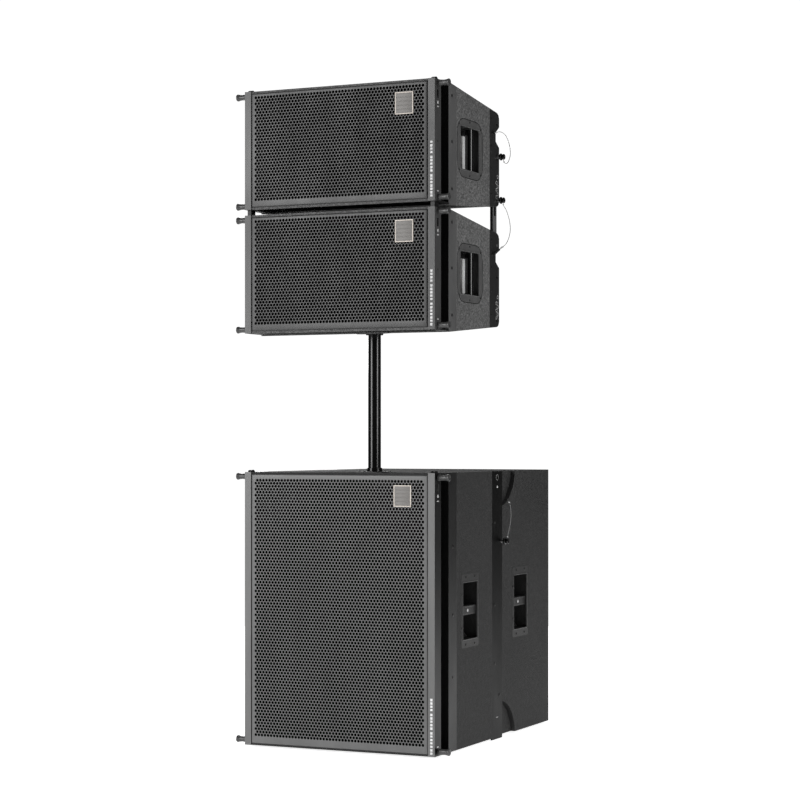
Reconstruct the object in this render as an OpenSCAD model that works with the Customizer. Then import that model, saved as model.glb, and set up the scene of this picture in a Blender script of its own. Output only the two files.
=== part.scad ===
// Line array: two tapered array boxes on a pole above a subwoofer cabinet.
// Millimetres, +Z up, fronts face -Y, origin at the bottom centre of the subwoofer.

/* [Overall] */
// Width of every cabinet, front post to front post
cab_w = 560; // [520:5:600]
// Depth of the subwoofer cabinet
sub_d = 820; // [760:10:880]
// Height of the subwoofer cabinet
sub_h = 735; // [695:5:780]
// Free length of pole between subwoofer and lower box
pole_gap = 373; // [203:2:503]

/* [Array boxes] */
// Height of an array box at its front
box_h = 318; // [300:2:340]
// Depth of an array box cabinet
box_d = 400; // [380:5:430]
// Slope of the top of an array box, degrees
taper = 6.3; // [3:0.1:8]
// Slope of the bottom of an array box, degrees
taper_low = 4.9; // [3:0.1:8]
// Gap between the two array boxes at the front
box_gap = 15; // [14:1:20]

/* [Rigging] */
// Diameter of the quick release pins
pin_d = 8; // [6:1:10]
// Length of a locking knob outside the post
knob_l = 33; // [25:1:40]
// Diameter of the pole
pole_d = 35; // [30:1:40]

/* [Hidden] */
$fn = 48;

hw = cab_w / 2;
foot_h = 5;
sub_z = foot_h;
sub_top = sub_z + sub_h;
low_z = sub_top + pole_gap + box_h / 2;
top_z = low_z + box_h + box_gap;

// front corner posts and the hand slot behind them
post_w = 19;
post_y = 40;
post_t = 3;
slot_y = 93;
slot_x = 255;
strip_y = 143;
strip_t = 2;
cap_t = 4;
window_y = [15, 25];
window_z = [28, 50];

// front face
lip_y = 3;
lip_t = 5.5;
rebate_y = 16;
baffle_y = 22;
wall = 15;
sub_wall = 18;
sheet = 2;
tray_y = 14;
groove = 1.5;

// array box side profile
rail_half = box_h / 2 + 3;
slope = tan(taper);
slope_low = tan(taper_low);

// rear rigging channel of an array box
plate_t = 4;
plate_y = 370;
plate_end = 440;
channel_y = 403;
channel_x = 258;
pin_y = 424;
pin_park_z = 3;
pin_link_z = -117;
bar_bolt_z = 92;
hole_r = pin_d / 2 + 0.05;
bar_x = 265;
bar_t = 8;
bar_slot = 42;

// front locks
knob_y = 20;
knob_in = 11;
knob_out = 12;

// handles of an array box
grip_x = 266;
grip_y = 262;
grip_r = 11;
cup_y0 = 165;
cup_y1 = 299;
cup_z0 = -58;
cup_z1 = 61;
cup_x = 234;
cup_t = 3;

// handles of the subwoofer
hand_z = 369;
hand_rows = [235, 598];
hand_x = 216;
hand_w = 104;
hand_h = 156;

// rear rails of the subwoofer
rail_y0 = 388;
rail_y1 = 462;
relief_r = 118;
relief_t = 13;
relief_off = 20;
sub_pin_y = 452;
sub_pin_z = 546;

pole_y = 225;

// moves a shape drawn with y = 0 at the front face
module at_front(z = 0) {
  translate([0, -sub_d / 2, z]) children();
}

module both() {
  children();
  mirror([1, 0, 0]) children();
}

module side(s) {
  if (s > 0) children();
  else mirror([1, 0, 0]) children();
}

// box from two corners
module block(a, b) {
  translate(a) cube(b - a);
}

// shape drawn in the y-z plane, pulled from x0 to x1
module along_x(x0, x1) {
  translate([x0, 0, 0]) rotate([90, 0, 90]) linear_extrude(height = x1 - x0) children();
}

// round bar along x
module rod_x(x0, x1, y, z, r) {
  translate([x0, y, z]) rotate([0, 90, 0]) cylinder(h = x1 - x0, r = r);
}

module rounded(y0, y1, z0, z1, r) {
  translate([y0 + r, z0]) square([y1 - y0 - 2 * r, z1 - z0]);
  translate([y0, z0 + r]) square([y1 - y0, z1 - z0 - 2 * r]);
  for (y = [y0 + r, y1 - r])
    for (z = [z0 + r, z1 - r])
      translate([y, z]) circle(r = r);
}

// height of the top and of the bottom of an array box at depth y behind the slot
function half_at(y) = rail_half - (y - slot_y) * slope;
function low_at(y) = (y - slot_y) * slope_low - rail_half;

// tapered outline of an array box between two depths, made smaller by inset
module taper_shape(y0, y1, inset = 0) {
  polygon([[y0, half_at(y0) - inset], [y1, half_at(y1) - inset],
           [y1, inset + low_at(y1)], [y0, inset + low_at(y0)]]);
}

// ---------- front parts shared by all cabinets ----------

// lip, side walls and top and bottom boards around the baffle, z0 to z1
module front_block(z0, z1, w) {
  difference() {
    union() {
      block([-hw + post_w + groove, lip_y, z0], [hw - post_w - groove, rebate_y, z1]);
      block([-slot_x, rebate_y, z0], [slot_x, slot_y, z1]);
    }
    block([-hw, lip_y - 1, z0 + lip_t], [hw, rebate_y, z1 - lip_t]);
    block([-slot_x + wall, rebate_y - 1, z0 + w], [slot_x - wall, slot_y + 1, z1 - w]);
  }
}

// perforated front sheet with folded edges
module grille(z0, z1) {
  x1 = hw - post_w - groove;
  difference() {
    block([-x1, 0, z0 + lip_t + 0.5], [x1, tray_y, z1 - lip_t - 0.5]);
    block([-x1 + sheet, sheet, z0 + lip_t + sheet + 0.5],
          [x1 - sheet, tray_y + 1, z1 - lip_t - sheet - 0.5]);
  }
}

// hollow corner post with the hand slot behind it, right side
module front_post(z0, z1, top_lock, bot_lock) {
  difference() {
    union() {
      block([hw - post_w, 0, z0], [hw, post_y, z1]);
      block([slot_x, post_y - 6, z0], [hw - post_w, post_y, z1]);
      block([slot_x, post_y - 6, z0], [slot_x + post_t, slot_y, z1]);
      block([slot_x, slot_y - post_t, z0], [hw, slot_y, z1]);
      for (z = [z0, z1 - cap_t])
        block([slot_x, post_y, z], [hw, slot_y, z + cap_t]);
    }
    block([hw - post_w + post_t, post_t, z0 - 1], [hw - post_t, post_y - post_t, z1 + 1]);
    for (z = [z1 - top_lock, z0 + bot_lock])
      rod_x(slot_x - 1, hw + 1, knob_y, z, hole_r);
    block([hw - post_t - 0.5, window_y[0], z1 - window_z[1]],
          [hw + 1, window_y[1], z1 - window_z[0]]);
  }
}

// link with round ends and a hole for each lock, right side
module front_link(z0, z1, holes) {
  x0 = hw - post_w + post_t + 1;
  x1 = hw - post_t - 1;
  r = 12;
  difference() {
    union() {
      block([x0, knob_y - r, z0 + r], [x1, knob_y + r, z1 - r]);
      for (z = [z0 + r, z1 - r]) rod_x(x0, x1, knob_y, z, r);
    }
    for (z = holes) rod_x(x0 - 1, x1 + 1, knob_y, z, hole_r);
  }
}

// stop block that holds the stowed link head in the top of a post
module link_seat(z) {
  block([hw - post_w + post_t, post_t, z - 6], [hw - post_t, post_y - post_t, z]);
}

// pull knob of a front lock with its bolt, right side
module knob(z) {
  bolt_in = hw - post_w - 2;
  rod_x(bolt_in, hw + 2, knob_y, z, pin_d / 2);
  rod_x(hw + 1, hw + knob_l - 4, knob_y, z, 8.5);
  rod_x(hw + knob_l - 4, hw + knob_l + 1, knob_y, z, 9.5);
}

// quick release pin with its round head, right side
module quick_pin(y, z) {
  rod_x(channel_x - 4, hw + 15, y, z, pin_d / 2);
  rod_x(hw + 12, hw + 15, y, z, 6.5);
  rod_x(hw + 15, hw + 23, y, z, 10);
}

// name plate with a raised border
module badge(x, z, w, h) {
  border = 2.5;
  difference() {
    block([x - w / 2, -2, z - h / 2], [x + w / 2, 0, z + h / 2]);
    block([x - w / 2 + border, -3, z - h / 2 + border],
          [x + w / 2 - border, -1, z + h / 2 - border]);
  }
}

// ---------- loudspeaker drivers, axis along y ----------

// middle and radius of the half-round surround, as shares of the chassis radius
roll_mid = 0.805;
roll_r = 0.045;

// chassis, surround and magnet; r is the chassis radius, the flange face is at y = 0
module basket(r, depth, magnet_r, magnet_h) {
  throat = magnet_r * 0.45;
  neck_y = depth - magnet_h;
  rotate([-90, 0, 0]) difference() {
    union() {
      rotate_extrude() polygon([[r * 0.83, 0], [r, 0], [r, 6], [r * 0.91, 6],
                                [magnet_r * 0.8, neck_y], [throat, neck_y],
                                [throat, neck_y - 4], [magnet_r * 0.72, neck_y - 4]]);
      translate([0, 0, neck_y]) difference() {
        cylinder(h = magnet_h, r = magnet_r);
        translate([0, 0, -1]) cylinder(h = magnet_h + 2, r = throat);
      }
    }
    for (i = [0:5])
      rotate([0, 0, i * 60])
        translate([magnet_r, -r * 0.2, neck_y * 0.35])
          cube([r, r * 0.4, neck_y * 0.45]);
  }
  rotate([-90, 0, 0]) rotate_extrude() difference() {
    translate([r * roll_mid, 0]) circle(r = r * roll_r);
    translate([r * roll_mid, 0]) circle(r = r * roll_r - 1.5);
    translate([r * 0.7, 0]) square([r * 0.3, r * 0.1]);
  }
}

// paper cone with dust cap and voice coil tube
module cone(r, depth, coil_r) {
  edge = r * 0.755;
  y1 = depth * 0.55;
  rotate([-90, 0, 0]) rotate_extrude() polygon([
    [edge, 0], [edge, 2], [coil_r + 1, y1], [coil_r + 1, y1 + 20], [coil_r - 1, y1 + 20],
    [coil_r - 1, y1 - 6], [0, y1 - 14], [0, y1 - 16], [coil_r + 2, y1 - 8]]);
}

// ---------- subwoofer ----------

module sub_side_cuts() {
  for (y = hand_rows)
    block([slot_x, y - hand_w / 2 - cup_t, hand_z - hand_h / 2 - cup_t],
          [hw + 1, y + hand_w / 2 + cup_t, hand_z + hand_h / 2 + cup_t]);
}

module sub_cabinet() {
  color("#2f3032") at_front() difference() {
    union() {
      front_block(sub_z, sub_top, sub_wall);
      difference() {
        block([-hw + sub_wall, slot_y, sub_z], [hw - sub_wall, sub_d, sub_top]);
        block([-hw, slot_y + wall, sub_z + sub_wall], [hw, sub_d - sub_wall, sub_top - sub_wall]);
        block([-slot_x + wall, slot_y - 1, sub_z + sub_wall],
              [slot_x - wall, slot_y + wall + 1, sub_top - sub_wall]);
      }
    }
    translate([0, pole_y, sub_top - 4]) cylinder(h = 5, r = 50);
    translate([0, pole_y, sub_top - 41]) cylinder(h = 42, r = 22);
    block([-60, sub_d - 3, 250], [60, sub_d + 1, 430]);
    block([-45, sub_d - 30, 265], [45, sub_d + 1, 415]);
  }
}

// side boards with the openings for the handles and the finger reliefs
module sub_side_panels() {
  color("#343537") at_front() both() difference() {
    block([hw - sub_wall, slot_y, sub_z], [hw, sub_d, sub_top]);
    block([hw - strip_t, slot_y - 1, sub_z - 1], [hw + 1, strip_y, sub_top + 1]);
    block([hw - plate_t, rail_y0, sub_z - 1], [hw + 1, rail_y1, sub_top + 1]);
    sub_side_cuts();
    for (y = hand_rows)
      along_x(hw - 3, hw + 1) rounded(y - 61, y + 61, hand_z - 100, hand_z + 100, 9);
    intersection() {
      union() {
        rod_x(hw - relief_t, hw + 1, rail_y1 - relief_off, sub_top + relief_off, relief_r);
        rod_x(hw - relief_t, hw + 1, rail_y1 - relief_off, sub_z - relief_off, relief_r);
      }
      block([hw - relief_t, rail_y1, 0], [hw + 1, sub_d, sub_top + 1]);
    }
    rod_x(hw - sub_wall - 1, hw + 1, sub_pin_y, sub_pin_z, hole_r);
  }
}

module sub_baffle() {
  r = 206;
  color("#1c1c1d") at_front() difference() {
    block([-slot_x + wall, baffle_y, sub_z + sub_wall],
          [slot_x - wall, baffle_y + sub_wall, sub_top - sub_wall]);
    translate([0, baffle_y - 1, 455]) rotate([-90, 0, 0]) cylinder(h = 20, r = r + 7.5);
    for (x = [-150, 0, 150])
      block([x - 60, baffle_y - 1, 45], [x + 60, baffle_y + 20, 165]);
  }
}

module sub_grille() {
  color("#1d1d1e") at_front() grille(sub_z, sub_top);
}

// corner posts, side strips and rear rails in steel
module sub_rigging() {
  color("#3a3b3d") at_front() {
    both() {
      front_post(sub_z, sub_top, knob_out, knob_out);
      block([hw - strip_t, slot_y, sub_z], [hw, strip_y, sub_top]);
      front_link(sub_top - 46, sub_top + 6, [sub_top - knob_out]);
      link_seat(sub_top - 46);
      difference() {
        block([hw - plate_t, rail_y0, 0], [hw, rail_y1, sub_top]);
        rod_x(hw - plate_t - 1, hw + 1, sub_pin_y, sub_pin_z, hole_r);
        translate([hw - plate_t - 1, (rail_y0 + rail_y1) / 2, sub_top - 17])
          rotate([0, 90, 0]) cylinder(h = plate_t + 2, r = 8, $fn = 6);
      }
    }
  }
}

// one recessed handle of the subwoofer, right side
module sub_handle(y) {
  y0 = y - hand_w / 2;
  y1 = y + hand_w / 2;
  z0 = hand_z - hand_h / 2;
  z1 = hand_z + hand_h / 2;
  difference() {
    union() {
      along_x(hw - 3, hw) rounded(y - 60, y + 60, hand_z - 99, hand_z + 99, 8);
      block([hand_x, y0 - cup_t, z0 - cup_t], [hw - 3, y1 + cup_t, z1 + cup_t]);
    }
    block([hand_x + cup_t, y0, z0], [hw + 1, y1, z1]);
  }
  block([hw - 26, y0, hand_z - 12], [hw - 6, y1, hand_z + 12]);
}

module sub_handles() {
  color("#232425") at_front() both()
    for (y = hand_rows) sub_handle(y);
}

module sub_basket() {
  color("#161617") at_front() translate([0, baffle_y - 6, 455]) basket(232, 200, 110, 60);
}

module sub_cone() {
  color("#222223") at_front() translate([0, baffle_y - 6, 455]) cone(232, 200, 46);
}

// rear plate with two round sockets
module rear_panel(y, z, w, h) {
  socket_r = 12;
  difference() {
    block([-w / 2, y - 3, z - h / 2], [w / 2, y, z + h / 2]);
    for (dz = [-28, 28])
      translate([0, y - 4, z + dz]) rotate([-90, 0, 0]) cylinder(h = 6, r = socket_r + 3);
  }
  for (dz = [-28, 28])
    translate([0, y - 22, z + dz]) rotate([-90, 0, 0]) difference() {
      union() {
        cylinder(h = 22, r = socket_r + 3);
        translate([0, 0, 22]) cylinder(h = 2, r = socket_r + 5);
      }
      translate([0, 0, 3]) cylinder(h = 22, r = socket_r);
    }
}

module sub_panel() {
  color("#1a1a1b") at_front() rear_panel(sub_d, 340, 120, 180);
}

// threaded plate let into the top board
module sub_pole_plate() {
  color("#8d8f92") at_front() translate([0, pole_y, 0]) difference() {
    union() {
      translate([0, 0, sub_top - 4]) cylinder(h = 4, r = 50);
      translate([0, 0, sub_top - 41]) cylinder(h = 38, r = 22);
    }
    translate([0, 0, sub_top - 42]) cylinder(h = 43, r = 10);
  }
}

module pole() {
  color("#141415") at_front() translate([0, pole_y, 0]) {
    translate([0, 0, sub_top - 36]) cylinder(h = 37, r = 9.9);
    translate([0, 0, sub_top]) cylinder(h = pole_gap + 80, r = pole_d / 2, $fn = 64);
  }
}

module sub_feet() {
  color("#101010") at_front() both()
    for (y = [70, sub_d - 70])
      translate([200, y, 0]) cylinder(h = foot_h, r = 25);
}

module sub_badge() {
  color("#b9b4a8") at_front() badge(188, 680, 50, 56);
}

// ---------- array boxes, drawn around their own mid height ----------

module box_cabinet(cup_hole) {
  color("#4b4c4e") difference() {
    union() {
      block([-slot_x, rebate_y, -box_h / 2], [slot_x, slot_y, box_h / 2]);
      block([-hw + post_w + groove, lip_y, -box_h / 2],
            [hw - post_w - groove, rebate_y, box_h / 2]);
      along_x(-hw, hw) taper_shape(slot_y, box_d);
    }
    block([-hw, lip_y - 1, -box_h / 2 + lip_t], [hw, rebate_y, box_h / 2 - lip_t]);
    block([-slot_x + wall, rebate_y - 1, -box_h / 2 + wall],
          [slot_x - wall, slot_y + wall + 1, box_h / 2 - wall]);
    along_x(-hw + wall, hw - wall) taper_shape(slot_y + wall, box_d - wall, wall);
    both() {
      block([hw - strip_t, slot_y - 1, -rail_half - 1], [hw + 1, strip_y, rail_half + 1]);
      block([hw - plate_t, plate_y, -rail_half], [hw + 1, box_d + 1, rail_half]);
      block([cup_x, cup_y0 - cup_t, cup_z0 - cup_t], [hw + 1, cup_y1 + cup_t, cup_z1 + cup_t]);
      along_x(hw - 3, hw + 1) rounded(cup_y0 - 19, cup_y1 + 23, -79, 80, 46);
    }
    block([-60, box_d - 3, -70], [60, box_d + 1, 70]);
    block([-45, box_d - 30, -58], [45, box_d + 1, 58]);
    if (cup_hole) translate([0, pole_y, -rail_half]) cylinder(h = 60, r = 24);
  }
}

module box_baffle() {
  color("#1c1c1d") difference() {
    block([-slot_x + wall, baffle_y, -box_h / 2 + wall],
          [slot_x - wall, baffle_y + wall, box_h / 2 - wall]);
    translate([-100, baffle_y - 1, 0]) rotate([-90, 0, 0]) cylinder(h = 20, r = 120);
    block([92, baffle_y - 1, -125], [178, baffle_y + 20, 125]);
  }
}

module box_grille() {
  color("#1d1d1e") grille(-box_h / 2, box_h / 2);
}

// corner posts and side strips in steel
module box_frames(head) {
  color("#3a3b3d") both() {
    front_post(-box_h / 2, box_h / 2, knob_in, knob_in);
    intersection() {
      block([hw - strip_t, slot_y, -200], [hw, strip_y, 200]);
      along_x(hw - strip_t, hw) taper_shape(slot_y, strip_y);
    }
    if (head) {
      front_link(box_h / 2 - 45, box_h / 2 + 6, [box_h / 2 - knob_in]);
      link_seat(box_h / 2 - 45);
    }
  }
}

// outline of the rear rigging plate with the finger notch
module plate_shape(y0) {
  z = half_at(425);
  z_low = low_at(425);
  difference() {
    polygon([[y0, half_at(y0)], [425, z], [435, z - 5], [plate_end, z - 15],
             [plate_end, 87], [415, 70], [415, 45], [plate_end, 30],
             [plate_end, z_low + 15], [435, z_low + 5], [425, z_low], [y0, low_at(y0)]]);
    for (h = [[428, -51], [420, -68], [428, -78], [420, -88], [428, -98], [420, -108]])
      translate(h) circle(r = 4);
    for (z = [pin_park_z, pin_link_z, bar_bolt_z])
      translate([pin_y, z]) circle(r = hole_r);
  }
}

// rear channels that take the link bar and its pin
module box_plates() {
  color("#333436") both() {
    along_x(hw - plate_t, hw) plate_shape(plate_y);
    along_x(channel_x, channel_x + plate_t) plate_shape(box_d);
    along_x(channel_x - 28, hw - plate_t) taper_shape(box_d, channel_y);
  }
}

module box_handles() {
  color("#2b2c2d") both() {
    difference() {
      union() {
        along_x(hw - 3, hw) rounded(cup_y0 - 18, cup_y1 + 22, -78, 79, 45);
        block([cup_x, cup_y0 - cup_t, cup_z0 - cup_t],
              [hw - 3, cup_y1 + cup_t, cup_z1 + cup_t]);
      }
      block([cup_x + cup_t, cup_y0, cup_z0], [hw + 1, cup_y1, cup_z1]);
    }
  }
}

module box_grips() {
  color("#0f0f10") both()
    translate([grip_x, grip_y, cup_z0]) cylinder(h = cup_z1 - cup_z0, r = grip_r);
}

module box_basket() {
  color("#161617") translate([-100, baffle_y - 6, 0]) basket(131, 120, 72, 42);
}

module box_cone() {
  color("#222223") translate([-100, baffle_y - 6, 0]) cone(131, 120, 30);
}

// slot waveguide with its compression driver
module box_horn() {
  color("#1b1b1c") translate([135, 0, 0]) {
    difference() {
      union() {
        block([-55, baffle_y - 5, -135], [55, baffle_y, 135]);
        block([-42, baffle_y, -124], [42, 130, 124]);
      }
      block([-10, baffle_y - 6, -118], [10, 131, 118]);
      for (s = [-1, 1])
        linear_extrude(height = 236, center = true)
          polygon([[0, 100], [s * 38, baffle_y - 6], [0, baffle_y - 6]]);
    }
    translate([0, 130, 0]) rotate([-90, 0, 0]) cylinder(h = 20, r = 45);
    translate([0, 150, 0]) rotate([-90, 0, 0]) cylinder(h = 55, r = 60);
  }
}

module box_panel() {
  color("#1a1a1b") rear_panel(box_d, 0, 120, 140);
}

module box_badge() {
  color("#b9b4a8") badge(193, 99, 52, 58);
}

module low_cabinet() { at_front(low_z) box_cabinet(true); }
module low_baffle() { at_front(low_z) box_baffle(); }
module low_grille() { at_front(low_z) box_grille(); }
module low_frames() { at_front(low_z) box_frames(false); }
module low_plates() { at_front(low_z) box_plates(); }
module low_handles() { at_front(low_z) box_handles(); }
module low_grips() { at_front(low_z) box_grips(); }
module low_basket() { at_front(low_z) box_basket(); }
module low_cone() { at_front(low_z) box_cone(); }
module low_horn() { at_front(low_z) box_horn(); }
module low_panel() { at_front(low_z) box_panel(); }
module low_badge() { at_front(low_z) box_badge(); }

module top_cabinet() { at_front(top_z) box_cabinet(false); }
module top_baffle() { at_front(top_z) box_baffle(); }
module top_grille() { at_front(top_z) box_grille(); }
module top_frames() { at_front(top_z) box_frames(true); }
module top_plates() { at_front(top_z) box_plates(); }
module top_handles() { at_front(top_z) box_handles(); }
module top_grips() { at_front(top_z) box_grips(); }
module top_basket() { at_front(top_z) box_basket(); }
module top_cone() { at_front(top_z) box_cone(); }
module top_horn() { at_front(top_z) box_horn(); }
module top_panel() { at_front(top_z) box_panel(); }
module top_badge() { at_front(top_z) box_badge(); }

// front links and rear link bars that join the two array boxes
module low_links() {
  z_pin = top_z + pin_link_z - low_z;
  color("#6f7174") at_front(low_z) both() {
    front_link(box_h / 2 - 26, box_h / 2 + box_gap + 26,
               [box_h / 2 - knob_in, box_h / 2 + box_gap + knob_in]);
    link_seat(box_h / 2 - 26);
    difference() {
      union() {
        block([bar_x, pin_y - 14, bar_bolt_z], [bar_x + bar_t, pin_y + 14, z_pin]);
        for (z = [bar_bolt_z, z_pin]) rod_x(bar_x, bar_x + bar_t, pin_y, z, 14);
      }
      block([bar_x - 1, pin_y - 5, z_pin - bar_slot],
            [bar_x + bar_t + 1, pin_y + 7, z_pin]);
      rod_x(bar_x - 1, bar_x + bar_t + 1, pin_y, z_pin, 5);
    }
    rod_x(channel_x, hw, pin_y, bar_bolt_z, pin_d / 2);
  }
}

// socket in the sloping bottom of the lower box for the pole
module low_pole_cup() {
  r = pole_d / 2 + 0.05;
  z_floor = -box_h / 2;
  z_skin = low_at(pole_y);
  color("#77797c") at_front(low_z) translate([0, pole_y, 0]) difference() {
    union() {
      translate([0, 0, z_floor]) cylinder(h = 90, r = 23.9);
      translate([0, 0, z_skin]) rotate([taper_low, 0, 0]) translate([0, 0, -4])
        cylinder(h = 4, r = 50);
    }
    translate([0, 0, z_floor - 1]) cylinder(h = 81.3, r = r, $fn = 64);
  }
}

// ---------- locks and pins ----------

module sub_knob(s, z) { color("#77787a") at_front() side(s) knob(z); }
module low_knob(s, z) { color("#77787a") at_front(low_z) side(s) knob(z); }
module top_knob(s, z) { color("#77787a") at_front(top_z) side(s) knob(z); }
module pin_at(s, y, z) { color("#1a1a1b") at_front() side(s) quick_pin(y, z); }

// ---------- wire lanyards ----------

cord_r = 1;
cord_sides = 8;

function unit(v) = v / norm(v);
// smooth point on the path between way points i and i + 1
function path_at(p, i, t) =
  let (n = len(p) - 1, a = p[max(i - 1, 0)], b = p[i], c = p[i + 1], d = p[min(i + 2, n)])
  0.5 * (2 * b + (c - a) * t + (2 * a - 5 * b + 4 * c - d) * t * t
         + (3 * b - a - 3 * c + d) * t * t * t);
function path(p, steps) =
  concat([for (i = [0:len(p) - 2]) for (k = [0:steps - 1]) path_at(p, i, k / steps)],
         [p[len(p) - 1]]);
function heading(q, i) = unit(q[min(i + 1, len(q) - 1)] - q[max(i - 1, 0)]);
function ring(q, i) =
  let (h = heading(q, i), u = unit(cross([0.3, 0.5, 0.1], h)), v = cross(h, u))
  [for (k = [0:cord_sides - 1])
    q[i] + cord_r * (cos(k * 360 / cord_sides) * u + sin(k * 360 / cord_sides) * v)];

// wire swept through the way points
module wire(points, steps) {
  q = path(points, steps);
  n = len(q);
  m = cord_sides;
  verts = [for (i = [0:n - 1]) each ring(q, i)];
  walls = [for (i = [0:n - 2]) for (k = [0:m - 1])
    each [[i * m + k, i * m + (k + 1) % m, (i + 1) * m + k],
          [i * m + (k + 1) % m, (i + 1) * m + (k + 1) % m, (i + 1) * m + k]]];
  polyhedron(points = verts, faces = concat(
    [[for (k = [0:m - 1]) m - 1 - k]], walls, [[for (k = [0:m - 1]) (n - 1) * m + k]]));
}

cord_sub_pts = [[281.5, 505, 656], [288, 502, 642], [294, 492, 612], [297, 474, 583],
                [299, 456, 562], [299, 452, 555]];
cord_link_pts = [[281.5, 396, 1336], [293, 410, 1352], [304, 434, 1370], [310, 446, 1400],
                 [309, 446, 1430], [303, 438, 1460], [299, 426, 1473], [299, 424, 1479]];
cord_park_pts = [[281.5, 396, 1669], [293, 412, 1676], [303, 430, 1668], [309, 442, 1645],
                 [311, 446, 1620], [309, 443, 1603], [305, 437, 1591.5],
                 [301, 428.5, 1591.5], [299, 424, 1599]];

module cord_sub() { color("#9a9a98") at_front() wire(cord_sub_pts, 4); }
module cord_link() { color("#9a9a98") at_front() wire(cord_link_pts, 4); }
module cord_park() { color("#9a9a98") at_front() wire(cord_park_pts, 4); }

sub_cabinet();
sub_side_panels();
sub_baffle();
sub_grille();
sub_rigging();
sub_handles();
sub_basket();
sub_cone();
sub_panel();
sub_pole_plate();
sub_feet();
sub_badge();
pole();
low_cabinet();
low_baffle();
low_grille();
low_frames();
low_plates();
low_handles();
low_grips();
low_basket();
low_cone();
low_horn();
low_panel();
low_badge();
low_links();
low_pole_cup();
top_cabinet();
top_baffle();
top_grille();
top_frames();
top_plates();
top_handles();
top_grips();
top_basket();
top_cone();
top_horn();
top_panel();
top_badge();
sub_knob(1, sub_z + knob_out);  // knob_sub_bot_r
sub_knob(-1, sub_z + knob_out);  // knob_sub_bot_l
sub_knob(1, sub_top - knob_out);  // knob_sub_top_r
sub_knob(-1, sub_top - knob_out);  // knob_sub_top_l
low_knob(1, knob_in - box_h / 2);  // knob_low_bot_r
low_knob(-1, knob_in - box_h / 2);  // knob_low_bot_l
low_knob(1, box_h / 2 - knob_in);  // knob_low_top_r
low_knob(-1, box_h / 2 - knob_in);  // knob_low_top_l
top_knob(1, knob_in - box_h / 2);  // knob_top_bot_r
top_knob(-1, knob_in - box_h / 2);  // knob_top_bot_l
top_knob(1, box_h / 2 - knob_in);  // knob_top_top_r
top_knob(-1, box_h / 2 - knob_in);  // knob_top_top_l
pin_at(1, sub_pin_y, sub_pin_z);  // pin_sub_r
pin_at(-1, sub_pin_y, sub_pin_z);  // pin_sub_l
pin_at(1, pin_y, top_z + pin_link_z);  // pin_link_r
pin_at(-1, pin_y, top_z + pin_link_z);  // pin_link_l
pin_at(1, pin_y, top_z + pin_park_z);  // pin_park_r
pin_at(-1, pin_y, top_z + pin_park_z);  // pin_park_l
cord_sub();
cord_link();
cord_park();
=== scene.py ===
import math
import random

import bmesh
import bpy
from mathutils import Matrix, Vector


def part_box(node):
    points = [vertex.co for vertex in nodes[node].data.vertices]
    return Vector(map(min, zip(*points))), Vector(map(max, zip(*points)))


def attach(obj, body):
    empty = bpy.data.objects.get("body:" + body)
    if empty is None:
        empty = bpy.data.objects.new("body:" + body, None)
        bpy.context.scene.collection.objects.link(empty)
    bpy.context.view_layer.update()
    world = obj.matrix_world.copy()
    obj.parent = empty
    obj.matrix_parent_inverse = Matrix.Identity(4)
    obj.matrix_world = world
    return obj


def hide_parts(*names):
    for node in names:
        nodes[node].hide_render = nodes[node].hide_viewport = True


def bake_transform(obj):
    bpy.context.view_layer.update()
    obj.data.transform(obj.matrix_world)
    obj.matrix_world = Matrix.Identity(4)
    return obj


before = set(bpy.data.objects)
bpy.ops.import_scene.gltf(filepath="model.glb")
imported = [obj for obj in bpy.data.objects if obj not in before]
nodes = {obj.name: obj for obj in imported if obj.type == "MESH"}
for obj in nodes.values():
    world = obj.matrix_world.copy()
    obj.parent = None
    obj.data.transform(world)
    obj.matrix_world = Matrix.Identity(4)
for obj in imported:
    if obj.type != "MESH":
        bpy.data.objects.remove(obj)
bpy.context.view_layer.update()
random.seed(7)

# ---------------------------------------------------------------- sizes shared with the CAD, metres
HALF_W = 0.280
SKIN = HALF_W * 1000  # the side faces again, in part.scad's millimetres
FRONT_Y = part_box("sub_grille")[0].y
SUB_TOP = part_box("sub_cabinet")[1].z
SUB_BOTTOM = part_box("sub_cabinet")[0].z


def mid_z(node):
    lo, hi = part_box(node)
    return (lo.z + hi.z) / 2


LOW_Z = mid_z("low_grille")
TOP_Z = mid_z("top_grille")
BOXES = (("low", "low_box", LOW_Z), ("top", "top_box", TOP_Z))
CABINETS = (("sub", "sub"), ("low", "low_box"), ("top", "top_box"))
SIDES = ((1, "r"), (-1, "l"))
SIGNS = (1, -1)


def at(x, y, z):
    """A point in metres from part.scad's millimetres, with y counted from the front face."""
    return Vector((x / 1000, FRONT_Y + y / 1000, z / 1000))


# ---------------------------------------------------------------- camera
CAM_PLACE = (2.562, -5.544, 0.824)
CAM_LENS = 97.7
CAM_YAW = 24.88
CAM_SHIFT = 0.051

cam_data = bpy.data.cameras.new("camera")
cam_data.lens = CAM_LENS
cam_data.sensor_width = 36
cam_data.shift_y = CAM_SHIFT
cam_data.clip_end = 100
cam = bpy.data.objects.new("camera", cam_data)
bpy.context.scene.collection.objects.link(cam)
cam.location = CAM_PLACE
cam.rotation_euler = (math.radians(90), 0, math.radians(CAM_YAW))
bpy.context.scene.camera = cam


# ---------------------------------------------------------------- materials
COAT_ROUGH = 0.1
CORNER_WEAR = 0.0012
STEEL_WEAR = 0.0010


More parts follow.
